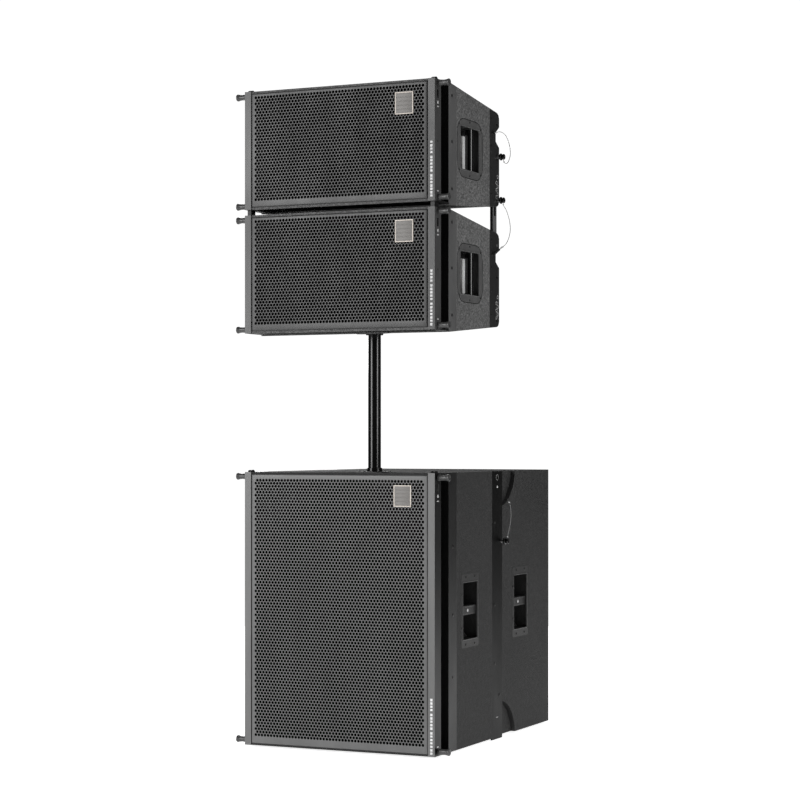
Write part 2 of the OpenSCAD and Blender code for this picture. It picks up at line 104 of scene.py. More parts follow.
class Shader:
    """A small helper to wire up one node material."""

    def __init__(self, name):
        self.mat = bpy.data.materials.new(name)
        self.mat.use_nodes = True
        self.tree = self.mat.node_tree
        self.bsdf = self.tree.nodes["Principled BSDF"]
        self.coords = self.tree.nodes.new("ShaderNodeTexCoord").outputs["Object"]

    def node(self, kind, **values):
        n = self.tree.nodes.new(kind)
        for key, value in values.items():
            if key in n.inputs:
                n.inputs[key].default_value = value
            else:
                setattr(n, key, value)
        return n

    def link(self, a, b):
        self.tree.links.new(a, b)

    def stretched(self, scale):
        m = self.node("ShaderNodeMapping")
        m.inputs["Scale"].default_value = scale
        self.link(self.coords, m.inputs["Vector"])
        return m.outputs["Vector"]

    def noise(self, scale, detail=3.0, rough=0.6, vector=None):
        n = self.node("ShaderNodeTexNoise", Scale=scale, Detail=detail, Roughness=rough)
        self.link(vector or self.coords, n.inputs["Vector"])
        return n.outputs["Fac"]

    def cells(self, scale, vector=None):
        n = self.node("ShaderNodeTexVoronoi", Scale=scale)
        self.link(vector or self.coords, n.inputs["Vector"])
        return n.outputs["Distance"]

    def ramp(self, fac, stops):
        n = self.node("ShaderNodeValToRGB")
        while len(n.color_ramp.elements) < len(stops):
            n.color_ramp.elements.new(0.5)
        for e, (pos, value) in zip(n.color_ramp.elements, stops):
            e.position = pos
            e.color = (*value, 1) if isinstance(value, tuple) else (value, value, value, 1)
        self.link(fac, n.inputs["Fac"])
        return n.outputs["Color"]

    def mix(self, fac, a, b, mode="MIX"):
        n = self.node("ShaderNodeMix", data_type="RGBA", blend_type=mode)
        for socket, value in ((n.inputs[0], fac), (n.inputs[6], a), (n.inputs[7], b)):
            if hasattr(value, "links"):
                self.link(value, socket)
            elif isinstance(value, tuple):
                socket.default_value = (*value, 1)
            else:
                socket.default_value = value
        return n.outputs[2]

    def edges(self, radius):
        """White where the surface turns a corner, for wear."""
        b = self.node("ShaderNodeBevel", Radius=radius)
        b.samples = 4
        g = self.node("ShaderNodeNewGeometry")
        dot = self.node("ShaderNodeVectorMath", operation="DOT_PRODUCT")
        self.link(b.outputs["Normal"], dot.inputs[0])
        self.link(g.outputs["Normal"], dot.inputs[1])
        return self.ramp(dot.outputs["Value"], [(0.80, 1.0), (0.97, 0.0)])

    def bump(self, height, strength, distance, under=None):
        b = self.node("ShaderNodeBump", Strength=strength, Distance=distance)
        self.link(height, b.inputs["Height"])
        if under is not None:
            self.link(under, b.inputs["Normal"])
        return b.outputs["Normal"]

    def done(self, color, rough, normal, metallic=0.0, specular=0.5, coat=0.0):
        p = self.bsdf.inputs
        self.link(color, p["Base Color"])
        self.link(rough, p["Roughness"])
        self.link(normal, p["Normal"])
        p["Metallic"].default_value = metallic
        p["Specular IOR Level"].default_value = specular
        p["Coat Weight"].default_value = coat
        p["Coat Roughness"].default_value = COAT_ROUGH
        return self.mat


def grey(value, warm=0.0):
    """A linear grey, tinted towards red by the share warm."""
    return (value * (1 + warm), value, value * (1 - warm))


def textured_paint(name, dark, light, specular=0.3):
    """Structured coating of a touring cabinet: sprayed droplets with speckled tops."""
    s = Shader(name)
    grain = s.noise(190, 3, 0.75)
    drops = s.cells(240)
    flecks = s.noise(75, 4, 0.7)
    broad = s.noise(4, 3, 0.5)
    tone = s.mix(s.ramp(grain, [(0.38, 0.0), (0.62, 1.0)]), grey(dark), grey(light))
    tone = s.mix(s.ramp(flecks, [(0.40, 0.45), (0.60, 0.0)]), tone, grey(dark * 0.7))
    tone = s.mix(s.ramp(broad, [(0.3, 0.30), (0.7, 0.0)]), tone, grey(dark * 0.6))
    tone = s.mix(s.edges(CORNER_WEAR), tone, grey(light * 1.3))
    rough = s.ramp(grain, [(0.3, 0.60), (0.7, 0.85)])
    normal = s.bump(drops, 0.45, 0.0012, s.bump(grain, 0.6, 0.0014))
    return s.done(tone, rough, normal, specular=specular)


def powder_coat(name, base, rough_lo, rough_hi, wear, worn, specular=0.5):
    """Powder coated steel with faint orange peel, handling marks and worn corners."""
    s = Shader(name)
    peel = s.noise(900, 2, 0.5)
    smear = s.noise(14, 5, 0.6, s.stretched((1, 1, 0.35)))
    tone = s.mix(s.ramp(smear, [(0.35, 0.0), (0.75, 1.0)]), grey(base * 0.86), grey(base * 1.14))
    patchy = s.mix(s.ramp(s.noise(60, 4), [(0.42, 0.0), (0.6, wear)]), (0, 0, 0), (1, 1, 1))
    mask = s.mix(1.0, s.edges(STEEL_WEAR), patchy, "MULTIPLY")
    tone = s.mix(mask, tone, grey(worn))
    rough = s.ramp(smear, [(0.25, rough_lo), (0.8, rough_hi)])
    return s.done(tone, rough, s.bump(peel, 0.18, 0.0003), specular=specular)


def brushed_metal(name, base, rough_lo, rough_hi, stretch, metallic=1.0, warm=0.0):
    """Metal with fine lines, closest together along the axis with the largest stretch."""
    s = Shader(name)
    lines = s.noise(260, 5, 0.7, s.stretched(stretch))
    cloud = s.noise(30, 3)
    streak = s.ramp(lines, [(0.3, 0.0), (0.7, 1.0)])
    tone = s.mix(streak, grey(base * 0.78, warm), grey(base * 1.12, warm))
    tone = s.mix(s.ramp(cloud, [(0.35, 0.0), (0.8, 0.25)]), tone, grey(base * 0.6, warm))
    rough = s.ramp(lines, [(0.3, rough_lo), (0.7, rough_hi)])
    return s.done(tone, rough, s.bump(lines, 0.25, 0.0002), metallic)


def moulded_plastic(name, base, rough_lo, rough_hi, grain=700.0):
    """Plastic or rubber with a fine leather grain and paler, rubbed corners."""
    s = Shader(name)
    leather = s.cells(grain)
    cloud = s.noise(25, 4)
    tone = s.mix(s.ramp(cloud, [(0.3, 0.0), (0.7, 1.0)]), grey(base * 0.85), grey(base * 1.2))
    tone = s.mix(s.edges(CORNER_WEAR), tone, grey(base * 2.2))
    rough = s.ramp(leather, [(0.0, rough_hi), (0.6, rough_lo)])
    return s.done(tone, rough, s.bump(leather, 0.25, 0.0003))


def gloss_coat(name, base):
    """Glossy black lacquer with long scuffs."""
    s = Shader(name)
    cloud = s.noise(60, 3)
    scuff = s.noise(180, 6, 0.75, s.stretched((1, 1, 0.12)))
    tone = s.mix(s.ramp(scuff, [(0.5, 0.0), (0.8, 1.0)]), grey(base), grey(base * 2.4))
    rough = s.ramp(cloud, [(0.3, 0.12), (0.75, 0.22)])
    return s.done(tone, rough, s.bump(scuff, 0.05, 0.0002), specular=0.3, coat=0.15)


def foam_sheet(name):
    """Open black foam that gives almost no light back."""
    s = Shader(name)
    pores = s.cells(620)
    tone = s.ramp(pores, [(0.1, 0.0004), (0.7, 0.0025)])
    rough = s.ramp(pores, [(0.0, 1.0), (1.0, 0.85)])
    return s.done(tone, rough, s.bump(pores, 0.8, 0.001), specular=0.02)


def paper_pulp(name):
    """Fibrous paper of a speaker cone."""
    s = Shader(name)
    pulp = s.noise(500, 6, 0.7)
    tone = s.ramp(pulp, [(0.3, 0.012), (0.7, 0.035)])
    rough = s.ramp(pulp, [(0.3, 0.7), (0.7, 0.9)])
    return s.done(tone, rough, s.bump(pulp, 0.4, 0.0006), specular=0.3)


def stranded_wire(name):
    """Steel wire with the slanting strands of its twist."""
    s = Shader(name)
    w = s.node("ShaderNodeTexWave", Scale=420.0, Distortion=0.6, bands_direction="DIAGONAL")
    s.link(s.coords, w.inputs["Vector"])
    tone = s.ramp(w.outputs["Fac"], [(0.1, 0.16), (0.6, 0.5)])
    rough = s.ramp(w.outputs["Fac"], [(0.0, 0.5), (1.0, 0.3)])
    return s.done(tone, rough, s.bump(w.outputs["Fac"], 0.5, 0.0003), metallic=0.6)


# albedo comes first (dark and light for paint), then the lowest and highest roughness
M = {
    "array_paint": textured_paint("array_paint", 0.048, 0.175),
    "sub_paint": textured_paint("sub_paint", 0.009, 0.036),
    # near-black copy of the cabinet paint: painted shade on the faces inside the front hand slots
    "slot_shade_paint": textured_paint("slot_shade_paint", 0.001, 0.003, 0.08),
    "grille": powder_coat("grille_coat", 0.021, 0.36, 0.50, wear=0.4, worn=0.08),
    "sub_grille": powder_coat("sub_grille_coat", 0.098, 0.36, 0.50, wear=0.4, worn=0.16),
    # post and post_side, sub_post and sub_post_side: one steel in separate front and side tones, painted
    # light and shade
    "post": powder_coat("post_coat", 0.018, 0.34, 0.46, wear=0.6, worn=0.12),
    "sub_post": powder_coat("sub_post_coat", 0.110, 0.34, 0.46, wear=0.6, worn=0.18),
    "post_side": powder_coat("post_side_coat", 0.040, 0.34, 0.46, wear=0.6, worn=0.16),
    "sub_post_side": powder_coat("sub_post_side_coat", 0.003, 0.34, 0.46, wear=0.6, worn=0.10,
                                 specular=0.25),
    "strip": powder_coat("strip_coat", 0.074, 0.36, 0.5, wear=0.8, worn=0.22),
    "sub_strip": powder_coat("sub_strip_coat", 0.006, 0.34, 0.48, wear=0.8, worn=0.10, specular=0.3),
    "plate": powder_coat("plate_coat", 0.012, 0.36, 0.5, wear=0.5, worn=0.12, specular=0.4),
    "rail": powder_coat("rail_coat", 0.0015, 0.36, 0.5, wear=0.4, worn=0.03, specular=0.1),
    "black_steel": powder_coat("black_steel", 0.003, 0.3, 0.5, wear=0.5, worn=0.08, specular=0.3),
    "knob": brushed_metal("knob_steel", 0.055, 0.30, 0.42, (30, 1, 1), metallic=0.3),
    "steel": brushed_metal("bare_steel", 0.30, 0.25, 0.42, (1, 1, 14)),
    "zinc": brushed_metal("zinc_plate", 0.60, 0.3, 0.5, (1, 1, 18), metallic=0.3),
    "bar_side": brushed_metal("bar_side", 0.10, 0.4, 0.6, (14, 14, 1), metallic=0.1),
    # pale plate in the handle cups: painted light on the cup's back wall
    "pale_plate": brushed_metal("pale_plate", 0.75, 0.4, 0.6, (20, 20, 1), metallic=0.0),
    "badge": brushed_metal("badge_face", 0.16, 0.4, 0.6, (1, 30, 30), metallic=0.1, warm=0.05),
    "border": brushed_metal("badge_border", 0.60, 0.45, 0.6, (1, 1, 1), metallic=0.0, warm=0.10),
    "print": brushed_metal("pale_print", 0.70, 0.6, 0.8, (1, 1, 1), metallic=0.0),
    "moulding": moulded_plastic("moulding", 0.009, 0.45, 0.65),
    "lip": moulded_plastic("lip_moulding", 0.030, 0.35, 0.5),
    "array_moulding": moulded_plastic("array_moulding", 0.060, 0.45, 0.65),
    # near-black plastic: the own colour of the baffles and grip collars, and painted shade in the handle
    # cups, the finger reliefs and the rings round the handle flanges
    "black_and_shade": moulded_plastic("black_and_shade", 0.0015, 0.6, 0.8),
    "pole": gloss_coat("pole_gloss", 0.002),
    "grip": gloss_coat("grip_gloss", 0.002),
    "rubber": moulded_plastic("foot_rubber", 0.006, 0.7, 0.9, 400.0),
    "foam": foam_sheet("foam_sheet"),
    "cone": paper_pulp("paper_cone"),
    "wire": stranded_wire("steel_wire"),
}

# CAD nodes with one material; those with several are dressed by split_material below
LOOKS = {
    "sub_baffle": "black_and_shade", "sub_basket": "black_steel", "sub_cone": "cone",
    "sub_panel": "moulding", "sub_pole_plate": "steel", "sub_feet": "rubber",
    "pole": "pole", "low_pole_cup": "black_steel",
}
for kind in ("low", "top"):
    LOOKS.update({
        kind + "_baffle": "black_and_shade", kind + "_plates": "plate", kind + "_grips": "grip",
        kind + "_basket": "black_steel", kind + "_cone": "cone",
        kind + "_horn": "moulding", kind + "_panel": "moulding",
    })

for name, key in LOOKS.items():
    materials = nodes[name].data.materials
    materials.clear()
    materials.append(M[key])


# ---------------------------------------------------------------- mesh helpers
def make(name, verts, faces, key, smooth=False):
    """A new object from plain lists."""
    mesh = bpy.data.meshes.new(name)
    mesh.from_pydata([tuple(v) for v in verts], [], faces)
    mesh.update()
    if smooth:
        mesh.shade_smooth()
    mesh.materials.append(M[key])
    obj = bpy.data.objects.new(name, mesh)
    bpy.context.scene.collection.objects.link(obj)
    return obj


def from_bmesh(name, bm, key, smooth_angle):
    """A new object from a bmesh, sharp where faces meet at more than smooth_angle degrees."""
    bmesh.ops.recalc_face_normals(bm, faces=bm.faces)
    mesh = bpy.data.meshes.new(name)
    bm.to_mesh(mesh)
    bm.free()
    mesh.materials.append(M[key])
    mesh.shade_smooth()
    mesh.set_sharp_from_angle(angle=math.radians(smooth_angle))
    obj = bpy.data.objects.new(name, mesh)
    bpy.context.scene.collection.objects.link(obj)
    return obj


def frame_along(axis):
    """Rotation that takes +Z to axis."""
    return Vector(axis).to_track_quat("Z", "Y").to_matrix()


def lathe(bm, profile, origin, axis, sides=32):
    """Turns (radius, height) pairs round axis; radii of 0 close the ends."""
    turn = frame_along(axis)
    rings = []
    for r, h in profile:
        if r == 0:
            rings.append([bm.verts.new(Vector(origin) + turn @ Vector((0, 0, h)))])
            continue
        ring = []
        for k in range(sides):
            a = 2 * math.pi * k / sides
            ring.append(bm.verts.new(Vector(origin) + turn @ Vector((r * math.cos(a), r * math.sin(a), h))))
        rings.append(ring)
    for a, b in zip(rings, rings[1:]):
        for k in range(sides):
            quad = [a[k % len(a)], a[(k + 1) % len(a)], b[(k + 1) % len(b)], b[k % len(b)]]
            corners = list(dict.fromkeys(quad))
            if len(corners) > 2:
                bm.faces.new(corners)


SUNK = 0.0002
SOCKET_R = 0.42
SOCKET_DEPTH = 0.7


def screw(bm, origin, axis, r, h, sides=16):
    """Dome head with a hexagon socket, its foot sunk a little into the surface."""
    dome = [(r, -SUNK), (r, h * 0.35), (r * 0.88, h * 0.75), (r * 0.62, h)]
    lathe(bm, [(0, -SUNK)] + dome, origin, axis, sides)
    turn = frame_along(axis)
    rim = list(bm.verts[-sides:])
    hexa = []
    for k in range(6):
        a = k * math.pi / 3
        spot = Vector((r * SOCKET_R * math.cos(a), r * SOCKET_R * math.sin(a), h))
        hexa.append(bm.verts.new(Vector(origin) + turn @ spot))
    low = [bm.verts.new(v.co - turn @ Vector((0, 0, h * SOCKET_DEPTH))) for v in hexa]
    for k in range(sides):
        a, b = rim[k], rim[(k + 1) % sides]
        ha = hexa[int(k * 6 / sides + 0.5) % 6]
        hb = hexa[int((k + 1) * 6 / sides + 0.5) % 6]
        bm.faces.new([a, b, hb] if ha is hb else [a, b, hb, ha])
    for k in range(6):
        bm.faces.new([hexa[k], hexa[(k + 1) % 6], low[(k + 1) % 6], low[k]])
    bm.faces.new(list(reversed(low)))


def slab(bm, lo, hi, bevel=0.0):
    """Box between two corners, with rounded edges if bevel is given."""
    made = bmesh.ops.create_cube(bm, size=1.0)["verts"]
    lo, hi = Vector(map(min, lo, hi)), Vector(map(max, lo, hi))
    for v in made:
        v.co = Vector((lo[i] + (v.co[i] + 0.5) * (hi[i] - lo[i]) for i in range(3)))
    if bevel:
        edges = {e for v in made for e in v.link_edges}
        bmesh.ops.bevel(bm, geom=list(edges), offset=bevel, segments=2, affect="EDGES", profile=0.6)


def put(name, bm, key, body, smooth_angle=35, replaces=()):
    """Finishes a piece: its object, the CAD nodes it replaces and the body it rides on."""
    obj = from_bmesh(name, bm, key, smooth_angle)
    if replaces:
        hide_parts(*replaces)
    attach(obj, body)


# ---------------------------------------------------------------- wire lanyards
WIRE_D = 0.002
WIRE_STEPS = 4
CRIMP_R = 0.0022
CRIMP_LINK_R = 0.0024
STRAP_R = 0.0034
# way points as in part.scad: x, y from the front face, z, in millimetres
WAY_SUB = [(281.5, 505, 656), (288, 502, 642), (294, 492, 612), (297, 474, 583),
           (299, 456, 562), (299, 452, 555)]
WAY_LINK = [(281.5, 396, 1336), (293, 410, 1352), (304, 434, 1370), (310, 446, 1400),
            (309, 446, 1430), (303, 438, 1460), (299, 426, 1473), (299, 424, 1479)]
WAY_PARK = [(281.5, 396, 1669), (293, 412, 1676), (303, 430, 1668), (309, 442, 1645),
            (311, 446, 1620), (309, 443, 1603), (305, 437, 1591.5),
            (301, 428.5, 1591.5), (299, 424, 1599)]


def route(way):
    """A smooth curve through the way points."""
    p = [at(*w) for w in way]
    last = len(p) - 1
    out = []
    for i in range(last):
        a, b, c, d = p[max(i - 1, 0)], p[i], p[i + 1], p[min(i + 2, last)]
        for k in range(WIRE_STEPS):
            t = k / WIRE_STEPS
            out.append(0.5 * (2 * b + (c - a) * t + (2 * a - 5 * b + 4 * c - d) * t * t
                              + (3 * b - a - 3 * c + d) * t ** 3))
    return out + [p[last]]


def tube(name, points, r, key, sides=10):
    """Closed round tube along points."""
    verts, faces = [], []
    side_ways = Vector((0.3, 0.5, 0.1))
    last = len(points) - 1
    for i, p in enumerate(points):
        d = (points[min(i + 1, last)] - points[max(i - 1, 0)]).normalized()
        u = side_ways.cross(d).normalized()
        v = d.cross(u)
        for k in range(sides):
            a = 2 * math.pi * k / sides
            verts.append(p + r * (math.cos(a) * u + math.sin(a) * v))
    for i in range(last):
        for k in range(sides):
            a, b = i * sides + k, i * sides + (k + 1) % sides
            faces.append((a, b, b + sides, a + sides))
    faces.append(tuple(reversed(range(sides))))
    faces.append(tuple(range(len(verts) - sides, len(verts))))
    return make(name, verts, faces, key, smooth=True)


def lanyard(name, points, node):
    """A wire along a fixed curve between two bodies, baked in place and attached to neither. node is the
    CAD cord that it replaces, if any.
    """
    obj = tube(name, points, WIRE_D / 2, "wire")
    if node:
        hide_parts(node)
    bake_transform(obj)


sub_route, link_route, park_route = route(WAY_SUB), route(WAY_LINK), route(WAY_PARK)
lanyard("lanyard_sub", sub_route, "cord_sub")
lanyard("lanyard_park", park_route, "cord_park")
LINK_SPLIT = 4 * WIRE_STEPS  # at the fifth way point
lanyard("lanyard_link", link_route[:LINK_SPLIT + 1], "cord_link")
lanyard("lanyard_link_end", link_route[LINK_SPLIT:], None)


def sleeve(name, points, r, key, body):
    """Crimp or rubber sleeve over a stretch of wire."""
    obj = tube(name, points, r, key, 16)
    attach(obj, body)


sleeve("crimp_park_a", park_route[1:3], CRIMP_R, "zinc", "top_box")
sleeve("crimp_park_b", park_route[-4:-2], CRIMP_R, "zinc", "pin_park_r")
sleeve("strap_link", link_route[0:5], STRAP_R, "rubber", "low_box")
sleeve("crimp_link_a", link_route[5:7], CRIMP_LINK_R, "zinc", "low_box")
sleeve("crimp_link_b", link_route[-4:-2], CRIMP_R, "zinc", "pin_link_r")
sleeve("crimp_sub_a", sub_route[1:3], CRIMP_R, "zinc", "sub")
sleeve("crimp_sub_b", sub_route[-4:-2], CRIMP_R, "zinc", "pin_sub_r")


# ---------------------------------------------------------------- perforated grilles
PITCH_X = 0.0093
PITCH_Z = 0.00805
HOLE_R = 0.0041
HOLE_DEPTH = 0.0005
ROLL = 0.003
TRAY = 0.0135
ROLL_STEPS = (25, 50, 75, 90)
SHEET_SHARP = 40
SUB_MARGINS = (0.013, 0.015, 0.022)
BOX_MARGINS = (0.013, 0.010, 0.019)


def cell_pattern(sides):
    """Triangles between a six-sided cell outline (0-5) and its round hole (6 onward)."""
    faces, i, j = [], 0, 0
    while i < 6 or j < sides:
        if j >= sides or (i < 6 and (i + 1) / 6 <= (j + 1) / sides):
            faces.append(((i + 1) % 6, i, 6 + j % sides))
            i += 1
        else:
            faces.append((6 + j, 6 + (j + 1) % sides, i % 6))
            j += 1
    return faces


def grille(name, node, key, body, margins, sides):
    """Perforated sheet: staggered holes, a plain border and an edge rolled back to the tray.

    margins are the least border at the sides, top and bottom; sides is the corners of a hole.
    """
    side, top, bottom = margins
    lo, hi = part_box(node)
    y = lo.y
    half_x = PITCH_X / 2
    third_z = PITCH_Z / 3
    cols = int((hi.x - lo.x - 2 * side) / PITCH_X)
    rows = int((hi.z - lo.z - top - bottom) / PITCH_Z) + 1
    left = -cols * half_x
    low = lo.z + bottom + (hi.z - lo.z - top - bottom - (rows - 1) * PITCH_Z) / 2
    pattern = cell_pattern(sides)
    verts, faces, shared, edges = [], [], {}, set()

    def corner(i, j):
        if (i, j) not in shared:
            shared[i, j] = len(verts)
            verts.append((left + i * half_x, y, low + j * third_z))
        return shared[i, j]

    for row in range(rows):
        shift = row % 2
        for col in range(cols + 1 - shift):
            i, j = 2 * col + shift, 3 * row
            ring = [corner(i, j + 2), corner(i + 1, j + 1), corner(i + 1, j - 1),
                    corner(i, j - 2), corner(i - 1, j - 1), corner(i - 1, j + 1)]
            for edge in zip(ring, ring[1:] + ring[:1]):
                edges.add(edge)
            first = len(verts)
            cx, cz = left + i * half_x, low + j * third_z
            angles = [2 * math.pi * k / sides for k in range(sides)]
            for back in (0, HOLE_DEPTH):
                verts.extend((cx + HOLE_R * math.sin(a), y + back, cz + HOLE_R * math.cos(a))
                             for a in angles)
            ids = ring + list(range(first, first + sides))
            faces.extend(tuple(ids[k] for k in f) for f in pattern)
            for k in range(sides):
                n = (k + 1) % sides
                faces.append((first + k, first + sides + k, first + sides + n, first + n))
    # cell sides with no neighbour, walked once round, are the inner edge of the border
    rim = {a: b for a, b in edges if (b, a) not in edges}
    loop = [next(iter(rim))]
    while rim[loop[-1]] != loop[0]:
        loop.append(rim[loop[-1]])

    # the loop's points nearest the four corners of the flat sheet become its corners
    x0, x1, z0, z1 = lo.x + ROLL, hi.x - ROLL, lo.z + ROLL, hi.z - ROLL
    marks = [min(range(len(loop)), key=lambda k: (verts[loop[k]][0] - cx) ** 2
                 + (verts[loop[k]][2] - cz) ** 2)
             for cx, cz in ((x0, z1), (x1, z1), (x1, z0), (x0, z0))]
    normals = ((0, 1), (1, 0), (0, -1), (-1, 0))
    n = len(loop)
    outline = []
    for k in range(n):
        x, _, z = verts[loop[k]]
        if k in marks:
            c = marks.index(k)
            nx = normals[c][0] + normals[c - 1][0]
            nz = normals[c][1] + normals[c - 1][1]
        else:
            c = max(range(4), key=lambda m: -((k - marks[m]) % n))
            nx, nz = normals[c]
        outline.append((x0 if nx < 0 else x1 if nx > 0 else x,
                        z0 if nz < 0 else z1 if nz > 0 else z, nx, nz))
    steps = [(0, 0)]
    steps += [(ROLL * math.sin(math.radians(d)), ROLL * (1 - math.cos(math.radians(d))))
              for d in ROLL_STEPS]
    steps.append((ROLL, TRAY))
    rings = [loop]
    for out, back in steps:
        start = len(verts)
        verts.extend((x + nx * out, y + back, z + nz * out) for x, z, nx, nz in outline)
        rings.append(list(range(start, start + n)))
    for a, b in zip(rings, rings[1:]):
        faces.extend((a[k], a[(k + 1) % n], b[(k + 1) % n], b[k]) for k in range(n))
    obj = make(name, verts, faces, key)
    obj.data.shade_smooth()
    obj.data.set_sharp_from_angle(angle=math.radians(SHEET_SHARP))
    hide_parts(node)
    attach(obj, body)


grille("sub_grille_sheet", "sub_grille", "sub_grille", "sub", SUB_MARGINS, 8)
for kind, body, _ in BOXES:
    grille(kind + "_grille_sheet", kind + "_grille", "grille", body, BOX_MARGINS, 12)


# ---------------------------------------------------------------- foam behind the grilles
FOAM_LO, FOAM_HI = 3.2, 5.0
FOAM_EDGE = 0.004
FOAM_WAVE = 0.0001
FOAM_CELL = 0.02
FOAM_COLS = 24
for kind, body in CABINETS:
    lo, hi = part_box(kind + "_grille")
    bm = bmesh.new()
    cols, rows = FOAM_COLS, max(8, int((hi.z - lo.z) / FOAM_CELL))
    wide, tall = hi.x - lo.x - 2 * FOAM_EDGE, hi.z - lo.z - 2 * FOAM_EDGE
    sheets = []
    for y in (FOAM_LO, FOAM_HI):
        grid = [[bm.verts.new((lo.x + FOAM_EDGE + wide * i / cols,
                               FRONT_Y + y / 1000 + random.uniform(-1, 1) * FOAM_WAVE,
                               lo.z + FOAM_EDGE + tall * j / rows))
                 for i in range(cols + 1)] for j in range(rows + 1)]
        for j in range(rows):
            for i in range(cols):
                quad = [grid[j][i], grid[j][i + 1], grid[j + 1][i + 1], grid[j + 1][i]]
                bm.faces.new(quad if y == FOAM_LO else quad[::-1])
        sheets.append(grid)
    a, b = sheets
    rim = ([(0, i) for i in range(cols + 1)] + [(j, cols) for j in range(1, rows + 1)]
           + [(rows, i) for i in range(cols - 1, -1, -1)] + [(j, 0) for j in range(rows - 1, 0, -1)])
    for (j, i), (jj, ii) in zip(rim, rim[1:] + rim[:1]):
        bm.faces.new([a[jj][ii], a[j][i], b[j][i], b[jj][ii]])
    put(kind + "_foam", bm, "foam", body, 30)


# ---------------------------------------------------------------- steel frames: tones by face direction, painted light and shade
def split_material(node, keys, pick):
    """Gives the node's faces one of several materials by the face's centre."""
    mesh = nodes[node].data
    mesh.materials.clear()
    for key in keys:
        mesh.materials.append(M[key])
    for p in mesh.polygons:
        p.material_index = pick(p.center, p.normal)


# where one tone of the front corner gives way to the next, with a hair of slack
POST_BACK = at(0, 39.3, 0).y
SLOT_BACK = at(0, 92.9, 0).y
STRIP_BACK = at(0, 153, 0).y
POST_IN = 0.2608
LINK_X = (0.2645, 0.2765)
LINK_Y = (at(0, 4.5, 0).y, at(0, 36.5, 0).y)
SIDEWAYS = 0.7


def frame_pick(c, n):
    """0 front skin and 1 side skin (one steel, toned by face direction as painted light and shade), 2
    smooth strip, 3 hand slot (black steel as painted shade), 4 link, 5 rear rail.
    """
    x = abs(c.x)
    if c.y > STRIP_BACK:
        return 5
    if c.y > SLOT_BACK:
        return 2
    if c.y > POST_BACK or x < POST_IN:
        return 3
    if LINK_X[0] < x < LINK_X[1] and LINK_Y[0] < c.y < LINK_Y[1]:
        return 4
    return 1 if abs(n.x) > SIDEWAYS else 0


# front and side faces of each frame get different tones, painted light and shade; the hand slot faces get
# black steel as painted shade
for node, front, flank, strip in (
        ("sub_rigging", "sub_post", "sub_post_side", "sub_strip"),
        ("low_frames", "post", "post_side", "strip"),
        ("top_frames", "post", "post_side", "strip")):
    split_material(node, (front, flank, strip, "black_steel", "black_steel", "rail"), frame_pick)


# anything of the links behind this is a rear link bar
LINKS_BACK = at(0, 100, 0).y


def links_pick(c, n):
    """0 front links and the narrow faces of the rear bars, 1 the pale sides of the rear bars."""
    return 1 if c.y >= LINKS_BACK and abs(n.x) > SIDEWAYS else 0


split_material("low_links", ("black_steel", "bar_side"), links_pick)

SLOT_FACES = (at(0, 15.5, 0).y, at(0, 92.5, 0).y)


def front_pick(c, n):
    """1 on the cabinet's faces inside the front hand slots, which get near-black paint as painted shade."""
    return 1 if SLOT_FACES[0] < c.y < SLOT_FACES[1] else 0


for kind in ("low", "top"):
    split_material(kind + "_cabinet", ("array_paint", "slot_shade_paint"), front_pick)
split_material("sub_cabinet", ("sub_paint", "slot_shade_paint"), front_pick)

RELIEF_Y = (at(0, 463, 0).y, at(0, 815, 0).y)
RELIEF_Z = (SUB_BOTTOM + 0.001, SUB_TOP - 0.001)
WALL = 0.5


def relief_pick(c, n):
    """1 on the walls of the finger reliefs behind the rear rails, made near-black as painted shade."""
    inside = RELIEF_Y[0] < c.y < RELIEF_Y[1] and RELIEF_Z[0] < c.z < RELIEF_Z[1]
    return 1 if inside and abs(n.x) < WALL else 0


split_material("sub_side_panels", ("sub_paint", "black_and_shade"), relief_pick)

BOX_FLANGE_BACK = 0.2764
SUB_FLANGE_BACK = 0.2535


def cup_pick(flange_back):
    """A pick of 1 for the faces of a handle cup deeper than its flange, made near-black as painted shade.
    """
    return lambda c, n: 1 if abs(c.x) < flange_back else 0


for kind in ("low", "top"):
    split_material(kind + "_handles", ("array_moulding", "black_and_shade"), cup_pick(BOX_FLANGE_BACK))
split_material("sub_handles", ("moulding", "black_and_shade"), cup_pick(SUB_FLANGE_BACK))


# ---------------------------------------------------------------- locking knobs
KNOB_R = 0.0085
BOLT_R = 0.00395


def across(name, sign):
    """Centre line origin of a piece that points sideways, and its ends as distances from x = 0."""
    lo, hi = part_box(name)
    inner, outer = (lo.x, hi.x) if sign > 0 else (hi.x, lo.x)
    return Vector((0, (lo.y + hi.y) / 2, (lo.z + hi.z) / 2)), abs(inner), abs(outer)


for sign, tag in SIDES:
    for row in ("sub_bot", "sub_top", "low_bot", "low_top", "top_bot", "top_top"):
        name = "knob_" + row + "_" + tag
        origin, tail, tip = across(name, sign)
        bolt = [(0, tail), (0.0032, tail), (BOLT_R, tail + 0.0008), (BOLT_R, HALF_W + 0.0012)]
        # radius over KNOB_R and height, from the side face and then from the tip
        collar = [(-0.0010, 0.0012), (-0.0002, 0.0018), (-0.0002, 0.0042), (-0.0013, 0.0048),
                  (-0.0013, 0.0058), (-0.0001, 0.0066), (-0.0006, 0.0120), (-0.0011, 0.0180),
                  (-0.0007, 0.0235)]
        flare = [(0.0002, 0.0060), (0.0009, 0.0042), (0.0010, 0.0016), (0.0004, 0.0004), (-0.0006, 0)]
        dish = [(0.0045, tip), (0.0040, tip - 0.0010), (0.0018, tip - 0.0014), (0, tip - 0.0014)]
        bm = bmesh.new()
        lathe(bm, bolt + [(KNOB_R + r, HALF_W + h) for r, h in collar]
              + [(KNOB_R + r, tip - h) for r, h in flare] + dish, origin, (sign, 0, 0), 40)
        put(name + "_turned", bm, "knob", name, 28, (name,))

# ---------------------------------------------------------------- quick release pins
SHANK_R = 0.0039
SHOULDER_R = 0.0050
HEAD_BACK = HALF_W + 0.0085
BALL_OUT = 0.0022

